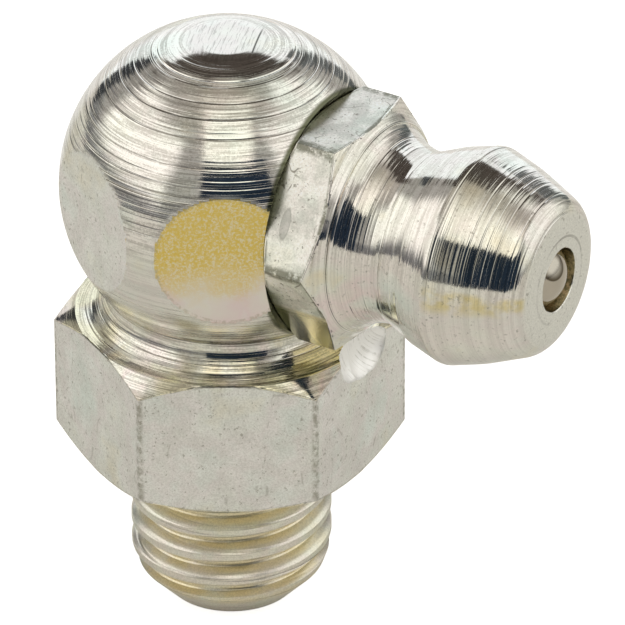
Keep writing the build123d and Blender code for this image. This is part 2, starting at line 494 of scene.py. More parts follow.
tree.links.new(times(tree, grooves, depth), made.inputs["Height"])
kept = fade(tree, noise(tree, place, 0.6, 3, 0.6), 0.34, 0.56)
tree.links.new(times(tree, fade(tree, lines, 0.24, 1.50), kept), made.inputs["Lines"])
broad = noise(tree, wound, 6, 3, 0.7)
mixed = calc(tree, "MULTIPLY_ADD", streaks, 0.28, times(tree, broad, 0.48))
mixed = calc(tree, "MULTIPLY_ADD", grain, 0.24, mixed)
tree.links.new(mixed, made.inputs["Streaks"])

# Zinc film: the passivation over the zinc shifts between gold, pink and green
zinc_film, given, made = new_group(
    "zinc_film", {"Vector": "Vector", "Amount": "Float"}, {"Tint": "Color"}
)
tree = zinc_film
film = add(tree, "ValToRGB", (noise(tree, given.outputs["Vector"], 0.42, 3, 0.55),))
film.color_ramp.elements[0].position = 0.30
film.color_ramp.elements[0].color = (1.0, 0.88, 0.62, 1)
film.color_ramp.elements[1].position = 0.72
film.color_ramp.elements[1].color = (0.82, 0.96, 0.93, 1)
for position, colour in ((0.42, (1, 1, 0.95, 1)), (0.54, (1, 0.87, 0.91, 1)), (0.61, (1, 1, 1, 1))):
    film.color_ramp.elements.new(position).color = colour
tree.links.new(
    blend(tree, given.outputs["Amount"], (1, 1, 1, 1), film.outputs["Color"]), made.inputs["Tint"]
)

# Bar skin: the drawn surface of the hexagon bar, matt, with pits, speckle, a faint mottle and
# fine scratches that lean a little
bar_skin, given, made = new_group(
    "bar_skin", {"Vector": "Vector"},
    {
        "Height": "Float", "Pits": "Float", "Mottle": "Float", "Speckle": "Color",
        "Scratches": "Float",
    },
)
tree = bar_skin
place = given.outputs["Vector"]
grain = noise(tree, place, 9, 4, 0.65)
tree.links.new(times(tree, grain, 0.008 * MM), made.inputs["Height"])
pits = fade(tree, noise(tree, place, 7, 3, 0.7), 0.61, 0.67)
tree.links.new(pits, made.inputs["Pits"])
leaning = add(tree, "Mapping", {
    "Vector": place, "Rotation": (0.5, 0.35, 0.2), "Scale": (1, 1, 0.22),
}).outputs[0]
scratches = fade(tree, apart(tree, noise(tree, leaning, 1.1, 2, 0.5), 0.5), 0.011, 0.004)
scratched = fade(tree, noise(tree, place, 1.3, 3, 0.6), 0.53, 0.62)
tree.links.new(times(tree, scratches, scratched), made.inputs["Scratches"])
tree.links.new(noise(tree, place, 1.1, 5, 0.65), made.inputs["Mottle"])
speckle = fade(tree, noise(tree, place, 17, 2, 0.7), 0.30, 0.70)
tree.links.new(
    blend(tree, speckle, (0.86, 0.86, 0.85, 1), (1.08, 1.08, 1.08, 1)), made.inputs["Speckle"]
)


def new_metal(name, roughness):
    """A metal material, with its shader and its Object coordinates."""
    material = bpy.data.materials.new(name)
    material.use_nodes = True
    tree = material.node_tree
    shader = tree.nodes["Principled BSDF"]
    shader.inputs["Metallic"].default_value = 1
    shader.inputs["Roughness"].default_value = roughness
    return material, tree, shader, add(tree, "TexCoord").outputs["Object"]


def colour_in(tree, shader, colour):
    """Sends a colour to the shader."""
    tree.links.new(colour, shader.inputs["Base Color"])


def rough_up(tree, shader, height):
    """Sends a height in metres to the shader's normal."""
    bump = add(tree, "Bump", {"Strength": 1.0, "Distance": 1.0, "Height": height})
    tree.links.new(bump.outputs["Normal"], shader.inputs["Normal"])


def filmed(tree, place, colour, amount):
    """A metal's colour under this much of the zinc film."""
    return tinted(tree, colour, use(tree, zinc_film, Vector=place, Amount=amount).outputs["Tint"])


# Bright turned zinc on the ball, the cove and the crown.  The marks follow the tool, round the
# ball and then down the cove and out over the crown; a belt round the ball is calmer.
bright_zinc = (0.79, 0.79, 0.755, 1)
olive_stain = (0.76, 0.73, 0.50, 1)
# The dull and bright streak tints are partly the metal's own tone and partly painted reflection
dull_streak_and_reflection = (0.72, 0.71, 0.685, 1)
bright_streak_and_reflection = (1.20, 1.20, 1.19, 1)
on_top_streak = (1.08, 1.08, 1.08, 1)
calm_streak = (0.98, 0.98, 0.96, 1)
groove_grime = (0.10, 0.08, 0.06, 1)
scratch_grime = (0.10, 0.10, 0.09, 1)
# Painted shade for the crevice round the side nipple's collar
joint_shade = (0.105, 0.115, 0.055, 1)
turned_zinc, tree, shader, place = new_metal("turned_zinc", 0.08)
at = split(tree, place)
from_axis = away(tree, at["X"], at["Y"])
over_middle = calc(tree, "SUBTRACT", at["Z"], ball_height)
round_ball = times(tree, calc(tree, "ARCTAN2", over_middle, from_axis), ball_radius)
down_cove = calc(tree, "SUBTRACT", at["Z"], from_axis)
on_ball = fade(tree, at["Z"], 5.56 * MM, 5.60 * MM)
station = calc(
    tree, "MULTIPLY_ADD", calc(tree, "SUBTRACT", round_ball, down_cove), on_ball, down_cove
)
calm = times(
    tree, fade(tree, at["Z"], 9.9 * MM, 8.7 * MM), fade(tree, at["Z"], 5.9 * MM, 6.7 * MM)
)
depth = calc(tree, "MULTIPLY_ADD", calm, -0.004 * MM, 0.0085 * MM)
marks = use(tree, turning_marks, Station=station, Vector=place, Depth=depth)

# The film is thicker low down, and stained olive in patches round the crown
low_down = fade(tree, at["Z"], 6.6 * MM, 5.2 * MM)
zinc = filmed(tree, place, bright_zinc, calc(tree, "MULTIPLY_ADD", low_down, 0.40, 0.35))
olive = times(
    tree, fade(tree, at["Z"], 5.5 * MM, 5.0 * MM),
    fade(tree, noise(tree, place, 0.45, 3), 0.40, 0.58), 0.7,
)
zinc = blend(tree, olive, zinc, olive_stain)

# Streaks along the cut, partly the metal's own paler and darker tone and partly painted reflection,
# fainter on the calm belt and on the ball's turned top
onto_top = times(tree, fade(tree, from_axis, 1.50 * MM, 1.05 * MM), on_ball)
streaks = fade(tree, marks.outputs["Streaks"], 0.43, 0.56)
streaks_and_reflections = blend(tree, streaks, dull_streak_and_reflection, bright_streak_and_reflection)
streaks_and_reflections = blend(tree, times(tree, onto_top, 0.9), streaks_and_reflections, on_top_streak)
streaks_and_reflections = blend(tree, times(tree, calm, 0.72), streaks_and_reflections, calm_streak)
zinc = tinted(tree, zinc, streaks_and_reflections)
lines = times(tree, marks.outputs["Lines"], calc(tree, "MULTIPLY_ADD", calm, -0.60, 0.75))
lined = blend(tree, lines, zinc, groove_grime)

# Beside the bar's flats the turned surface is worn matt
side_turn = calc(tree, "PINGPONG", calc(tree, "ARCTAN2", at["Y"], at["X"]), pi / 6)
toward_flat = times(tree, from_axis, calc(tree, "COSINE", side_turn))
worn = times(
    tree, fade(tree, toward_flat, 4.66 * MM, 4.75 * MM), fade(tree, at["Z"], 5.9 * MM, 6.3 * MM)
)
matt = calc(tree, "MAXIMUM", worn, times(tree, calm, 0.4))
tree.links.new(calc(tree, "MULTIPLY_ADD", matt, 0.30, 0.08), shader.inputs["Roughness"])

# The top is scratched one way instead of turned, and has one deep scratch
along_scratch = dot(tree, place, (0.322, -0.947, 0))
across_scratch = dot(tree, place, (0.947, 0.322, 0))
drawn = join(tree, times(tree, along_scratch, 0.08), across_scratch, 0.0)
scratches = noise(tree, drawn, 13, 4, 0.7)
deep_scratch = times(
    tree, fade(tree, apart(tree, across_scratch, 0.945 * MM), 0.04 * MM, 0.01 * MM),
    fade(tree, apart(tree, along_scratch, -0.236 * MM), 0.93 * MM, 0.85 * MM),
)
lined = blend(tree, onto_top, lined, zinc)
faint = times(tree, fade(tree, scratches, 0.50, 0.62), 0.38)
on_top_marks = times(tree, calc(tree, "MAXIMUM", faint, deep_scratch), onto_top)
lined = blend(tree, on_top_marks, lined, scratch_grime)
near_top = times(tree, fade(tree, from_axis, 1.80 * MM, 1.42 * MM), on_ball)
left_deep = calc(tree, "MULTIPLY_ADD", onto_top, -0.25, 1.0)
left_deep = calc(tree, "MULTIPLY_ADD", near_top, -0.75, left_deep)
turned_height = calc(
    tree, "MULTIPLY_ADD", times(tree, scratches, onto_top), 0.004 * MM,
    times(tree, marks.outputs["Height"], left_deep),
)

# Painted shade in the crevice of the joint with the side nipple's collar: the ball is painted dark
# olive round it
from_bore = away(tree, at["Y"], over_middle)
joint_shade_mask = times(
    tree, fade(tree, from_bore, 3.99 * MM, 3.90 * MM),
    fade(tree, at["X"], 1.5 * MM, 2.5 * MM), 0.92,
)
colour_in(tree, shader, blend(tree, joint_shade_mask, lined, joint_shade))
rough_up(tree, shader, turned_height)


def on_cone(tree, from_axis, along, radius, angle):
    """Where a place comes to when it is moved to this radius along a cone of this slope."""
    outside = calc(tree, "SUBTRACT", from_axis, radius)
    return calc(tree, "MULTIPLY_ADD", outside, climb_over(1, angle), along)


# Matt zinc on the bar's flats, darker along the hexagon's corners and under its crown
matt_zinc = (0.875, 0.89, 0.875, 1)
cloud_tints = (0.93, 0.93, 0.92, 1), (1.03, 1.03, 1.03, 1)
pit_grime = (0.22, 0.20, 0.16, 1)
edge_grime = (0.22, 0.21, 0.15, 1)
bar_zinc, tree, shader, place = new_metal("bar_zinc", 0.38)
at = split(tree, place)
from_axis = away(tree, at["X"], at["Y"])
skin = use(tree, bar_skin, Vector=place)
zinc = filmed(tree, place, matt_zinc, 0.32)
mottle = fade(tree, skin.outputs["Mottle"], 0.35, 0.65)
zinc = tinted(tree, zinc, blend(tree, mottle, *cloud_tints))
zinc = tinted(tree, zinc, skin.outputs["Speckle"])
marked = calc(
    tree, "MAXIMUM", skin.outputs["Pits"], times(tree, skin.outputs["Scratches"], 0.6)
)
zinc = blend(tree, times(tree, marked, 0.55), zinc, pit_grime)
under_crown = on_cone(tree, from_axis, at["Z"], crown_rim, crown_angle)
over_seat = on_cone(tree, from_axis, at["Z"], seat_radius, -seat_angle)
ends = calc(
    tree, "MAXIMUM",
    fade(tree, under_crown, crown_height - 0.10 * MM, crown_height - 0.03 * MM),
    fade(tree, over_seat, 0.09 * MM, 0.03 * MM),
)
ends = times(tree, fade(tree, at["Z"], 5.2 * MM, 4.9 * MM), ends)
edges = calc(tree, "MAXIMUM", fade(tree, from_axis, 5.40 * MM, 5.47 * MM), ends)
edges = times(tree, edges, fade(tree, noise(tree, place, 5, 5, 0.8), 0.36, 0.62), 0.65)
colour_in(tree, shader, blend(tree, edges, zinc, edge_grime))
rough_up(tree, shader, skin.outputs["Height"])

# The front spot on the ball, where the film is thick and golden above, and pale below
thick_gold = (0.83, 0.63, 0.16, 1)
rubbed_gold = (0.90, 0.85, 0.71, 1)
pale_film = (0.86, 0.82, 0.79, 1)
rim_grime = (0.40, 0.36, 0.24, 1)
gold_film, tree, shader, place = new_metal("gold_film", 0.40)
skin = use(tree, bar_skin, Vector=place)
flecks = times(tree, fade(tree, noise(tree, place, 11, 4, 0.9), 0.49, 0.58), 0.75)
golden = blend(tree, flecks, thick_gold, rubbed_gold)
upwards = split(tree, place)["Z"]
waves = calc(tree, "SUBTRACT", noise(tree, place, 0.8, 4), 0.5)
wavy = calc(tree, "MULTIPLY_ADD", waves, 2.2 * MM, upwards)
pale = filmed(tree, place, pale_film, 0.8)
golden = blend(tree, fade(tree, wavy, 9.3 * MM, 7.4 * MM), golden, pale)
sideways = dot(tree, place, (cos(radians(30)), sin(radians(30)), 0))
from_middle = away(tree, sideways, calc(tree, "SUBTRACT", upwards, ball_height))
dotted = times(
    tree, fade(tree, from_middle, 2.07 * MM, 2.13 * MM),
    fade(tree, noise(tree, place, 8, 3, 0.7), 0.40, 0.60), 0.40,
)
colour_in(tree, shader, blend(tree, dotted, golden, rim_grime))
rough_up(tree, shader, skin.outputs["Height"])

# Threaded shank: pale crests, and roots painted golden, partly film pooled there and partly painted
# shade and reflection from the hexagon above
crest_zinc = (0.83, 0.83, 0.75, 1)
# The roots' gold is partly pooled film and partly painted shade and reflection
pooled_gold_and_shade = (0.84, 0.75, 0.52, 1)
thread_grime = (0.16, 0.14, 0.09, 1)
thread_zinc, tree, shader, place = new_metal("thread_zinc", 0.30)
at = split(tree, place)
from_axis = away(tree, at["X"], at["Y"])
marks = use(tree, turning_marks, Station=at["Z"], Vector=place, Depth=0.010 * MM)
skin = use(tree, bar_skin, Vector=place)
zinc = filmed(tree, place, crest_zinc, 0.5)
pooled_and_shaded = times(
    tree, fade(tree, from_axis, 3.12 * MM, 2.92 * MM), fade(tree, at["Z"], -4.9 * MM, -4.4 * MM),
    fade(tree, noise(tree, place, 0.9, 3, 0.6), 0.25, 0.60), 0.85,
)
zinc = blend(tree, pooled_and_shaded, zinc, pooled_gold_and_shade)
zinc = tinted(tree, zinc, skin.outputs["Speckle"])
lines = times(tree, marks.outputs["Lines"], 0.5)
colour_in(tree, shader, blend(tree, lines, zinc, thread_grime))
rough_up(tree, shader, marks.outputs["Height"])

# The relief is milled last, so it is bare of film and almost white.  Its rim is dark, and the
# cutter has left ridges round its own middle.
bare_zinc = (1, 1, 1, 1)
ridge_grime = (0.26, 0.25, 0.20, 1)
white_zinc, tree, shader, place = new_metal("white_zinc", 0.42)
skin = use(tree, bar_skin, Vector=place)
at = split(tree, place)
from_axis = away(tree, at["X"], at["Y"])
under_crown = on_cone(tree, from_axis, at["Z"], crown_rim, crown_angle)
rim = calc(
    tree, "MAXIMUM", fade(tree, at["X"], 4.68 * MM, 4.75 * MM),
    fade(tree, under_crown, crown_height - 0.07 * MM, crown_height),
)
rim = times(tree, rim, fade(tree, noise(tree, place, 3, 3, 0.7), 0.35, 0.55), 0.35)
cutter_middle = Vector((5.0, 1.6, 4.9)) * MM
swept = add(tree, "VectorMath", (place, cutter_middle), operation="DISTANCE").outputs["Value"]
ridges = times(
    tree, fade(tree, apart(tree, noise(tree, swept, 2.2, 3, 0.7), 0.5), 0.030, 0.006),
    fade(tree, noise(tree, place, 2.0, 3, 0.7), 0.42, 0.56), 0.34,
)
marked = calc(tree, "MAXIMUM", rim, ridges)
colour_in(tree, shader, blend(tree, marked, bare_zinc, ridge_grime))
rough_up(tree, shader, skin.outputs["Height"])


def lay_on(piece, metals, shown):
    """Gives a piece its metals, and each face the one that shows there."""
    piece.data.materials.clear()
    for metal in metals:
        piece.data.materials.append(metal)
    for face in piece.data.polygons:
        face.material_index = metals.index(shown(face))


front = Vector((cos(radians(-60)), sin(radians(-60)), 0))
spots_above = 6 * MM
spot_margin = 0.014 * MM
flat_margin = 0.002 * MM
corners_below = 3.4 * MM
corners_outside = 5.3 * MM
relief_outside = 4.2 * MM
relief_margin = 0.012 * MM


def elbow_metal(face):
    """The metal that shows on a face of the elbow."""
    level = face.center.z
    flat_reach = max(face.center.dot(way) for way in FLAT_WAYS)
    from_cut = min(abs((face.center - middle).length - size) for middle, size in relief_cuts)
    if level < 0:
        return thread_zinc
    if level > spots_above and flat_reach > bar_reach - spot_margin:
        return gold_film if face.normal.dot(front) > 0.8 else bar_zinc
    if flat_reach > bar_reach - flat_margin and abs(face.normal.z) < 0.02:
        return bar_zinc
    if level < corners_below and face.center.xy.length > corners_outside:
        return bar_zinc
    if from_cut < relief_margin and face.center.x > relief_outside:
        return white_zinc
    return turned_zinc


lay_on(elbow, (turned_zinc, bar_zinc, gold_film, thread_zinc, white_zinc), elbow_metal)
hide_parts("elbow_body")
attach(elbow, "fitting")

# ---------------------------------------------------------------------------------------------
# Side nipple.  Turned from smaller hexagon bar and bored from its stem; the stem goes into the
# elbow's cross bore up to the collar.
# ---------------------------------------------------------------------------------------------
collar_reach = 3.5 * MM
collar_blank = collar_reach / cos(radians(30)) + 0.4 * MM
collar_front = 5.20 * MM
collar_foot = 3.396 * MM
collar_back_angle = 30
collar_front_angle = 19.8
stem_radius = 2.43 * MM
waist_radius = 2.75 * MM
trumpet_radius = 1.93 * MM
crest_radius = 3.475 * MM
nose_end = 11.70 * MM
nipple_outline = rounded([
    (2.03 * MM, 0.90 * MM, 0),
    (stem_radius, 1.30 * MM, 0),
    (stem_radius, spot_face, 0),
    (collar_foot, spot_face, 0.03 * MM),
    (collar_blank, spot_face + climb_over(collar_blank - collar_foot, collar_back_angle), 0),
    (collar_blank, collar_front - climb_over(collar_blank - collar_reach, collar_front_angle), 0),
    (3.577 * MM, 5.172 * MM, 0.5 * MM),
    (3.31 * MM, 5.45 * MM, 0),
])
nipple_outline += arc((waist_radius + trumpet_radius, 6.75 * MM), trumpet_radius, 224, 180, 14)
nipple_outline += rounded([
    (waist_radius, 6.82 * MM, 0),
    (3.175 * MM, 7.80 * MM, 0.8 * MM),
    (crest_radius, 8.82 * MM, 0.45 * MM),
    (3.12 * MM, 9.95 * MM, 4 * MM),
    (2.3666 * MM, nose_end, 0.90 * MM),
    (0.5 * MM, nose_end, 0),
])
nipple = mill_flats(turn_up("side_nipple", nipple_outline), collar_reach)

# The chamber runs from the staked lip that holds the spring to the seat cone and the mouth
chamber_radius = 1.3005 * MM
lip_radius = 0.75 * MM
mouth_radius = 1.0 * MM
chamber = turn_up("chamber", [
    (lip_radius, 0.8 * MM), (lip_radius, 1.35 * MM), (chamber_radius, 1.351 * MM),
    (chamber_radius, 10.78 * MM), (mouth_radius, 11.30 * MM), (mouth_radius, 11.63 * MM),
    (1.02 * MM, 11.68 * MM), (1.08 * MM, 11.72 * MM),
], sides=96)
drill(nipple, chamber)
lay_over(nipple)
smooth(nipple, sharp_from)

# Bright turned zinc along the nipple, its marks across the axis
band_gold = (0.72, 0.63, 0.36, 1)
# The streak tints are partly the metal's own tone and partly painted reflection
streak_and_reflection_tints = (0.84, 0.83, 0.805, 1), (1.17, 1.17, 1.16, 1)
no_streak = (1, 1, 1, 1)
faced_zinc = (0.82, 0.82, 0.78, 1)
nipple_pit_grime = (0.20, 0.18, 0.15, 1)
nipple_groove_grime = (0.14, 0.12, 0.10, 1)
nipple_zinc, tree, shader, place = new_metal("nipple_zinc", 0.09)
at = split(tree, place)
lift = calc(tree, "SUBTRACT", at["Z"], ball_height)
from_axis = away(tree, at["Y"], lift)
station = calc(tree, "MULTIPLY_ADD", from_axis, -0.4, at["X"])
marks = use(tree, turning_marks, Station=station, Vector=place, Depth=0.006 * MM)

# Round the nipple in degrees, 0 at its front side and 90 on top.  The film is thick on the
# lower side of the waist, and gold in a patchy band along the head.
climb = calc(tree, "DEGREES", calc(tree, "ARCTAN2", lift, times(tree, at["Y"], -1)))
shaded = times(tree, fade(tree, climb, 12, -8), fade(tree, at["X"], 7.6 * MM, 6.8 * MM))
zinc = filmed(tree, place, bright_zinc, calc(tree, "MULTIPLY_ADD", shaded, 0.55, 0.40))
band = times(
    tree, fade(tree, climb, 13, 8), fade(tree, climb, -6, 3),
    fade(tree, noise(tree, place, 1.4, 3, 0.6), 0.30, 0.62),
    fade(tree, at["X"], 8.7 * MM, 9.0 * MM),
)
zinc = blend(tree, band, zinc, band_gold)

# Streaks along the cut, partly the metal's own tone and partly painted reflection, which the lower
# side hardly has, then the speckled end face and pits
calm = fade(tree, climb, 14, -2)
streaks = fade(tree, marks.outputs["Streaks"], 0.42, 0.58)
streaks_and_reflections = blend(tree, streaks, *streak_and_reflection_tints)
streaks_and_reflections = blend(tree, times(tree, calm, 0.6), streaks_and_reflections, no_streak)
zinc = tinted(tree, zinc, streaks_and_reflections)
skin = use(tree, bar_skin, Vector=place)
faced = tinted(tree, faced_zinc, skin.outputs["Speckle"])
zinc = blend(tree, fade(tree, at["X"], nose_end - 0.12 * MM, nose_end - 0.02 * MM), zinc, faced)
zinc = blend(tree, times(tree, skin.outputs["Pits"], 0.5), zinc, nipple_pit_grime)
lines = times(tree, marks.outputs["Lines"], calc(tree, "MULTIPLY_ADD", calm, -0.30, 0.5))
colour_in(tree, shader, blend(tree, lines, zinc, nipple_groove_grime))
rough_up(tree, shader, marks.outputs["Height"])

# Matt zinc on the collar's flats, cloudy and scratched, and bruised dark along its edges
collar_matt_zinc = (0.90, 0.915, 0.89, 1)
collar_cloud_tints = (0.82, 0.83, 0.79, 1), (1.12, 1.11, 1.08, 1)
collar_pit_grime = (0.20, 0.18, 0.14, 1)
bruise_grime = (0.18, 0.18, 0.13, 1)
# The dent's two greys are painted shade
dent_painted_shade = (0.42, 0.42, 0.39, 1)
dent_rim_painted_shade = (0.20, 0.20, 0.17, 1)
olive_film = (0.60, 0.59, 0.47, 1)
smeared_gold = (0.96, 0.88, 0.62, 1)
collar_zinc, tree, shader, place = new_metal("collar_zinc", 0.40)
at = split(tree, place)
skin = use(tree, bar_skin, Vector=place)
zinc = filmed(tree, place, collar_matt_zinc, 0.35)
zinc = tinted(tree, zinc, skin.outputs["Speckle"])
mottle = fade(tree, skin.outputs["Mottle"], 0.38, 0.60)
zinc = tinted(tree, zinc, blend(tree, mottle, *collar_cloud_tints))
marked = calc(tree, "MAXIMUM", skin.outputs["Pits"], skin.outputs["Scratches"])
zinc = blend(tree, times(tree, marked, 0.75), zinc, collar_pit_grime)
from_axis = away(tree, at["Y"], calc(tree, "SUBTRACT", at["Z"], ball_height))
behind_rim = on_cone(tree, from_axis, at["X"], collar_reach, collar_front_angle)
before_seat = on_cone(tree, from_axis, at["X"], collar_reach, -collar_back_angle)
edges = calc(
    tree, "MAXIMUM", fade(tree, before_seat, 3.50 * MM, 3.40 * MM),
    fade(tree, behind_rim, 5.08 * MM, 5.16 * MM),
)
edges = calc(tree, "MAXIMUM", fade(tree, from_axis, 3.88 * MM, 3.98 * MM), edges)
edges = times(tree, edges, fade(tree, noise(tree, place, 3.0, 5, 0.8), 0.34, 0.54), 0.85)
bruised = blend(tree, edges, zinc, bruise_grime)

# Painted shade of a shallow oval dent in the upper front flat, which the mesh does not have: grey,
# darker round its rim
dent_middle = Vector((3.99, -3.258, 10.457)) * MM
from_dent = add(tree, "VectorMath", (place, dent_middle), operation="SUBTRACT").outputs[0]
dent_wide = calc(tree, "DIVIDE", dot(tree, from_dent, (1, 0, 0)), 0.17 * MM)
dent_long = calc(tree, "DIVIDE", dot(tree, from_dent, (0.12, 0.5, 0.866)), 0.52 * MM)
dent = away(tree, dent_wide, dent_long)
dented = times(tree, fade(tree, dent, 1.05, 0.85), fade(tree, at["Y"], -2.6 * MM, -2.8 * MM))
bruised = blend(tree, times(tree, dented, 0.55), bruised, dent_painted_shade)
dent_rim = times(tree, dented, fade(tree, dent, 0.70, 1.0), 0.35)
bruised = blend(tree, dent_rim, bruised, dent_rim_painted_shade)

# The lowest flat is polished and smeared olive and gold along its length
along_face = join(tree, at["X"], times(tree, at["Y"], 0.15), times(tree, at["Z"], 0.15))
smears = calc(tree, "MULTIPLY_ADD", noise(tree, along_face, 3.2, 4, 0.7), 2.6 * MM, at["X"])
smeared = fade(tree, smears, 5.2 * MM, 5.9 * MM)
olive = blend(tree, smeared, olive_film, smeared_gold)
colour_in(tree, shader, blend(tree, fade(tree, at["Z"], 7.45 * MM, 7.2 * MM), bruised, olive))
polished = fade(tree, at["Z"], 7.4 * MM, 6.9 * MM)
tree.links.new(
    add(tree, "MapRange", (polished, 0, 1, 0.40, 0.13)).outputs[0], shader.inputs["Roughness"]
)
rough_up(tree, shader, skin.outputs["Height"])

# Inside the mouth the film is olive and gold, with a dark crust
mouth_film = (0.50, 0.43, 0.26, 1)
mouth_crust = (0.20, 0.19, 0.11, 1)
mouth_zinc, tree, shader, place = new_metal("mouth_zinc", 0.28)
zinc = filmed(tree, place, mouth_film, 0.8)
uncrusted = fade(tree, noise(tree, place, 9, 4, 0.75), 0.40, 0.62)
colour_in(tree, shader, blend(tree, uncrusted, mouth_crust, zinc))

nipple_axis = Vector((0, 0, ball_height))
collar_outside = 3.4 * MM
collar_before = 6 * MM
bored_inside = 1.35 * MM
bored_before = nose_end - 0.04 * MM


def nipple_metal(face):
    """The metal that shows on a face of the side nipple."""
    spoke = face.center - nipple_axis
    spoke.x = 0
    reach = spoke.length
    if abs(face.normal.x) < 0.02 and reach > collar_outside and face.center.x < collar_before:
        return collar_zinc
    if reach < bored_inside and face.center.x < bored_before:
        return mouth_zinc
    return nipple_zinc


lay_on(nipple, (nipple_zinc, collar_zinc, mouth_zinc), nipple_metal)
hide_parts("nipple_body")
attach(nipple, "fitting")

# ---------------------------------------------------------------------------------------------
# Check ball.  A small ball of hardened and polished steel.  The spring presses it into the
# coned seat behind the nipple's mouth, which it shuts from inside.
# ---------------------------------------------------------------------------------------------
low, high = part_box("check_ball")
check_ball_middle = (low + high) / 2
nothing_selected()
bpy.ops.mesh.primitive_cube_add(size=(high - low).x, location=check_ball_middle)
valve_ball = bpy.context.object
valve_ball.name = "valve_ball"
work_on(valve_ball)
bpy.ops.object.transform_apply(location=False, rotation=True, scale=True)
bpy.ops.object.mode_set(mode="EDIT")
bpy.ops.mesh.select_all(action="SELECT")
bpy.ops.mesh.subdivide(number_cuts=31)
bpy.ops.transform.tosphere(value=1)
bpy.ops.object.mode_set(mode="OBJECT")
grown = valve_ball.data.vertices[0].co.length * 2 / (high - low).x
bpy.ops.object.mode_set(mode="EDIT")
bpy.ops.transform.resize(value=(1 / grown,) * 3, center_override=check_ball_middle)
bpy.ops.object.mode_set(mode="OBJECT")
bpy.ops.object.transform_apply(location=True, rotation=True, scale=True)
bpy.ops.object.shade_smooth()

# Painted reflection: the nipple's mouth mirrored in the ball, painted into its colour as a dark
# ring round one bright spot
steel_tints = (0.46, 0.42, 0.36, 1), (0.60, 0.54, 0.46, 1)
painted_spot_reflection = (0.56, 0.53, 0.47, 1)
painted_ring_reflection = (0.12, 0.10, 0.07, 1)
polished_steel, tree, shader, place = new_metal("polished_steel", 0.10)
haze = noise(tree, place, 2.2, 3)
steel = blend(tree, haze, *steel_tints)
outwards = add(tree, "VectorMath", (place, check_ball_middle), operation="SUBTRACT").outputs[0]
outwards = add(tree, "VectorMath", (outwards,), operation="NORMALIZE").outputs[0]
towards_reflection = dot(tree, outwards, (0.836, -0.196, 0.514))
from_reflection = calc(tree, "DEGREES", calc(tree, "ARCCOSINE", towards_reflection))
ring_reflection_share = fade(tree, from_reflection, 9, 22)
painted_reflection = blend(tree, ring_reflection_share, painted_spot_reflection, painted_ring_reflection)
colour_in(tree, shader, blend(tree, fade(tree, from_reflection, 24, 22), steel, painted_reflection))
tree.links.new(
    add(tree, "MapRange", (haze, 0.3, 0.7, 0.08, 0.20)).outputs[0], shader.inputs["Roughness"]
)
valve_ball.data.materials.append(polished_steel)
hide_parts("check_ball")
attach(valve_ball, "check_ball")

# ---------------------------------------------------------------------------------------------
# Check spring.  Five turns of drawn steel wire between the staked lip and the check ball, its
# ends ground flat.  The real spring shortens as the ball is pushed in; this one is built at one
# length.
# ---------------------------------------------------------------------------------------------
low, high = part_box("check_spring")
spring_turns = 5
wire_radius = 0.125 * MM
coil_radius = (high - low).y / 2 - wire_radius
spring_pitch = ((high - low).x - 2 * wire_radius) / (spring_turns - 1)
nothing_selected()
bpy.ops.mesh.primitive_circle_add(
    vertices=16, radius=wire_radius, location=(coil_radius, 0, low.x), rotation=(pi / 2, 0, 0)
)
spring = bpy.context.object
spring.name = "coil_spring"
bpy.ops.object.transform_apply(location=True, rotation=True, scale=True)
wind_up(spring, spring_pitch, spring_turns, 48 * spring_turns)
bpy.ops.object.mode_set(mode="EDIT")
for end, way in ((low.x, -1), (high.x, 1)):
    bpy.ops.mesh.select_all(action="SELECT")
    bpy.ops.mesh.bisect(
        plane_co=(0, 0, end), plane_no=(0, 0, way), use_fill=True, clear_outer=True,
        threshold=NARROW_CUT,
    )
bpy.ops.mesh.select_all(action="SELECT")
bpy.ops.mesh.normals_make_consistent(inside=False)
bpy.ops.object.mode_set(mode="OBJECT")
lay_over(spring)
smooth(spring, 40)

wire_tints = (0.50, 0.49, 0.45, 1), (0.62, 0.60, 0.55, 1)
drawn_wire, tree, shader, place = new_metal("drawn_wire", 0.30)
colour_in(tree, shader, blend(tree, noise(tree, place, 3, 3), *wire_tints))
spring.data.materials.append(drawn_wire)
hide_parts("check_spring")
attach(spring, "fitting")
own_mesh(spring)

# ---------------------------------------------------------------------------------------------
# Camera: a long lens, looking down on the fitting from the front left of its side nipple.
# ---------------------------------------------------------------------------------------------
camera_distance = 247.5 * MM
aims_right, aims_down = 2.596 * MM, 4.04 * MM
turned_by, looks_down_by, rolled_by = radians(30.524), radians(31.375), radians(-0.256)
right = Vector((cos(turned_by), sin(turned_by), 0))
towards = Vector((
    sin(turned_by) * cos(looks_down_by), -cos(turned_by) * cos(looks_down_by), sin(looks_down_by)
))
up = towards.cross(right)
ball_middle = Vector((0, 0, ball_height))
stands_at = ball_middle + right * aims_right - up * aims_down + towards * camera_distance
camera_data = bpy.data.cameras.new("camera")
camera = bpy.data.objects.new("camera", camera_data)
bpy.context.collection.objects.link(camera)
camera_data.sensor_width = 36
camera_data.lens = 460.8
camera_data.clip_start = 0.01
camera_data.clip_end = 10
rolled_right = right * cos(rolled_by) + up * sin(rolled_by)
rolled_up = up * cos(rolled_by) - right * sin(rolled_by)
looks = Matrix((rolled_right, rolled_up, towards)).transposed()
camera.matrix_world = Matrix.Translation(stands_at) @ looks.to_4x4()
bpy.context.scene.camera = camera

# ---------------------------------------------------------------------------------------------
# Studio: a pale table, and round it the light tent that the metal mirrors, with soft boxes on
# both sides and over the camera, the dark opening for the lens, and a white backdrop behind.
# ---------------------------------------------------------------------------------------------
to_camera = Vector((towards.x, towards.y, 0)).normalized()


def turn_from_camera(tree, vector):
    """The compass turn of a direction or place in degrees, 0 towards the camera's stand."""
    return calc(tree, "DEGREES", calc(
        tree, "ARCTAN2", dot(tree, vector, right), dot(tree, vector, to_camera)
    ))


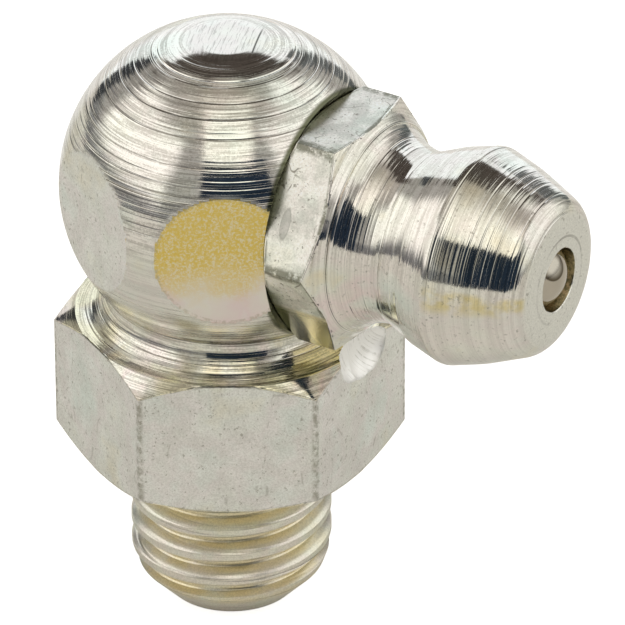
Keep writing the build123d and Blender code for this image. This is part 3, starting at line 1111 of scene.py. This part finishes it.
def panel(tree, turn, rise, ends, levels, soft, soft_levels=None):
    """A mask over a stretch of the tent between two ends and two levels, with soft edges."""
    soft_levels = soft_levels or soft
    beside = apart(tree, turn, sum(ends) / 2)
    above = apart(tree, rise, sum(levels) / 2)
    half_wide = (ends[1] - ends[0]) / 2
    half_high = (levels[1] - levels[0]) / 2
    return times(
        tree, fade(tree, beside, half_wide + soft, half_wide - soft),
        fade(tree, above, half_high + soft_levels, half_high - soft_levels),
    )


tent = bpy.data.worlds.new("light_tent")
tent.use_nodes = True
bpy.context.scene.world = tent
tree = tent.node_tree
looking = add(tree, "TexCoord").outputs["Generated"]
upwards = dot(tree, looking, (0, 0, 1))
turn = turn_from_camera(tree, looking)
turned_away = calc(tree, "ABSOLUTE", turn)
rise = calc(tree, "DEGREES", calc(tree, "ARCSINE", upwards))
overhead = calc(tree, "DEGREES", calc(tree, "ARCTAN2", upwards, dot(tree, looking, to_camera)))
sideways = dot(tree, looking, right)
tent_cloth = (0.40, 0.39, 0.36, 1), (0.46, 0.43, 0.38, 1)
overhead_box = (1.24, 1.19, 1.06, 1), (0.50, 0.46, 0.39, 1)
gap_grey = (0.19, 0.19, 0.19, 1)
tent_light = blend(tree, fade(tree, rise, 40, 72), *tent_cloth)
top_light = blend(tree, fade(tree, overhead, 60, 100), *overhead_box)
for mask, colour in (
    # The gap over the table's far edge, at the left and at the right
    (panel(tree, turn, rise, (-150, -20), (-8, 8), 2.5), gap_grey),
    (panel(tree, turn, rise, (33, 60), (-8, 8), 2.5), gap_grey),
    # The dark room over the backdrop, the backdrop, and the posts at its two ends
    (panel(tree, turned_away, rise, (139, 210), (36, 73), 3), (0.08, 0.068, 0.058, 1)),
    (panel(tree, turned_away, rise, (148, 200), (-60, 42), 1.2), (1.03, 1.07, 1.08, 1)),
    (panel(tree, turn, rise, (143, 155), (-8, 35), 1.5), (0.13, 0.14, 0.14, 1)),
    (panel(tree, turn, rise, (-150, -140), (-14, 28), 1.2), (0.05, 0.055, 0.06, 1)),
    # The soft boxes at the left, at the right and overhead
    (panel(tree, turn, rise, (-122, -46), (9, 51), 6, 8), (1.18, 1.15, 1.07, 1)),
    (panel(tree, turn, rise, (45, 130), (2, 62), 6), (1.04, 1.02, 0.95, 1)),
    (panel(tree, sideways, overhead, (-0.27, 0.28), (41, 100), 0.06, 3), top_light),
    # The opening for the lens
    (panel(tree, turn, rise, (-20, 33), (-5, 40), 0.7), (0.016, 0.026, 0.042, 1)),
):
    tent_light = blend(tree, mask, tent_light, colour)
seen = add(tree, "LightPath").outputs["Is Camera Ray"]
tree.links.new(
    blend(tree, seen, tent_light, (1, 1, 1, 1)), tree.nodes["Background"].inputs["Color"]
)

nothing_selected()
bpy.ops.mesh.primitive_circle_add(
    vertices=128, radius=300 * MM, fill_type="NGON", location=(0, 0, shank_end)
)
table = bpy.context.object
table.name = "table"
work_on(table)
bpy.ops.object.transform_apply(location=True, rotation=True, scale=True)
table_colour = (0.97, 0.96, 0.925, 1)
backdrop_colour = (0.9, 0.9, 0.9, 1)
table_glow = 0.72
backdrop_glow = 0.20
table_top = bpy.data.materials.new("table_top")
table_top.use_nodes = True
tree = table_top.node_tree
shader = tree.nodes["Principled BSDF"]
shader.inputs["Roughness"].default_value = 0.8
shader.inputs["Specular IOR Level"].default_value = 0
place = add(tree, "TexCoord").outputs["Object"]
turned_away = calc(tree, "ABSOLUTE", turn_from_camera(tree, place))
outwards = add(tree, "VectorMath", (place,), operation="LENGTH").outputs["Value"]
backdrop = times(
    tree, fade(tree, turned_away, 146, 154), fade(tree, outwards, 18 * MM, 30 * MM)
)
path = add(tree, "LightPath").outputs
whitened = calc(tree, "MAXIMUM", path["Is Camera Ray"], backdrop)
colour_in(tree, shader, blend(tree, whitened, table_colour, backdrop_colour))
shader.inputs["Emission Color"].default_value = (1, 1, 1, 1)
glow = calc(
    tree, "ADD", times(tree, path["Is Camera Ray"], table_glow),
    times(tree, path["Is Glossy Ray"], backdrop, backdrop_glow),
)
tree.links.new(glow, shader.inputs["Emission Strength"])
table.data.materials.append(table_top)

bpy.context.scene.view_settings.view_transform = "Standard"
nothing_selected()
